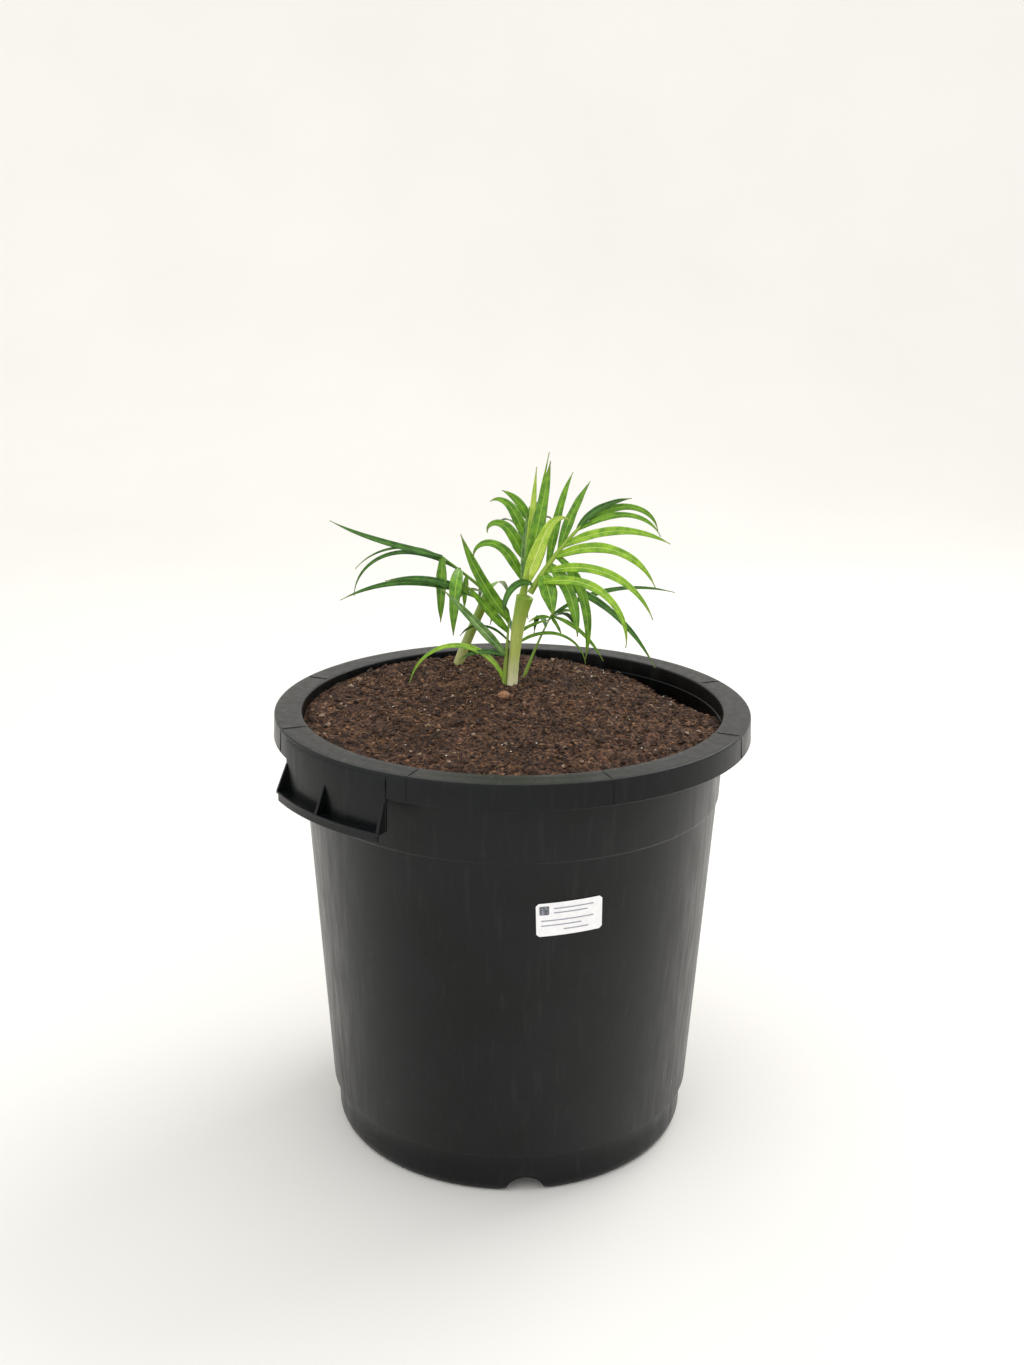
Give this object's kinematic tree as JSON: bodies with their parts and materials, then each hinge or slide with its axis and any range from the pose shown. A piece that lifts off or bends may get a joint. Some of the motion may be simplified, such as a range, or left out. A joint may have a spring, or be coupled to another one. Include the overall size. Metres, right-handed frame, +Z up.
{
  "type": "potted palm seedling",
  "caption": "Young clumping feather palm in a round nursery pot with a flat rim and grips, filled with potting mix, standing on its flat foot",
  "frame": {"origin": "centre of the pot's foot, on the floor", "axes": "+Z up, the front of the pot with its label towards -Y, right side towards +X"},
  "size_m": [0.482, 0.482, 0.6939],
  "materials": {
    "pot_plastic": "satin black moulded plastic",
    "label_paper": "matte white with grey print",
    "potting_mix": "dark granular bark mix",
    "seed_husk": "rough brown husk",
    "stem_skin": "smooth pale green stem",
    "leaf": "glossy green leaf"
  },
  "bodies": {
    "root": {"pot": "pot_plastic", "label": "label_paper", "soil": "potting_mix", "seed": "seed_husk", "stem": "stem_skin", "sucker": "stem_skin", "frond_spear": "leaf", "frond_right": "leaf", "frond_upper_left": "leaf", "frond_left": "leaf", "frond_right_low": "leaf", "frond_back": "leaf", "frond_sucker": "leaf", "frond_sucker_low": "leaf", "frond_sucker_back": "leaf"}
  },
  "joints": []
}
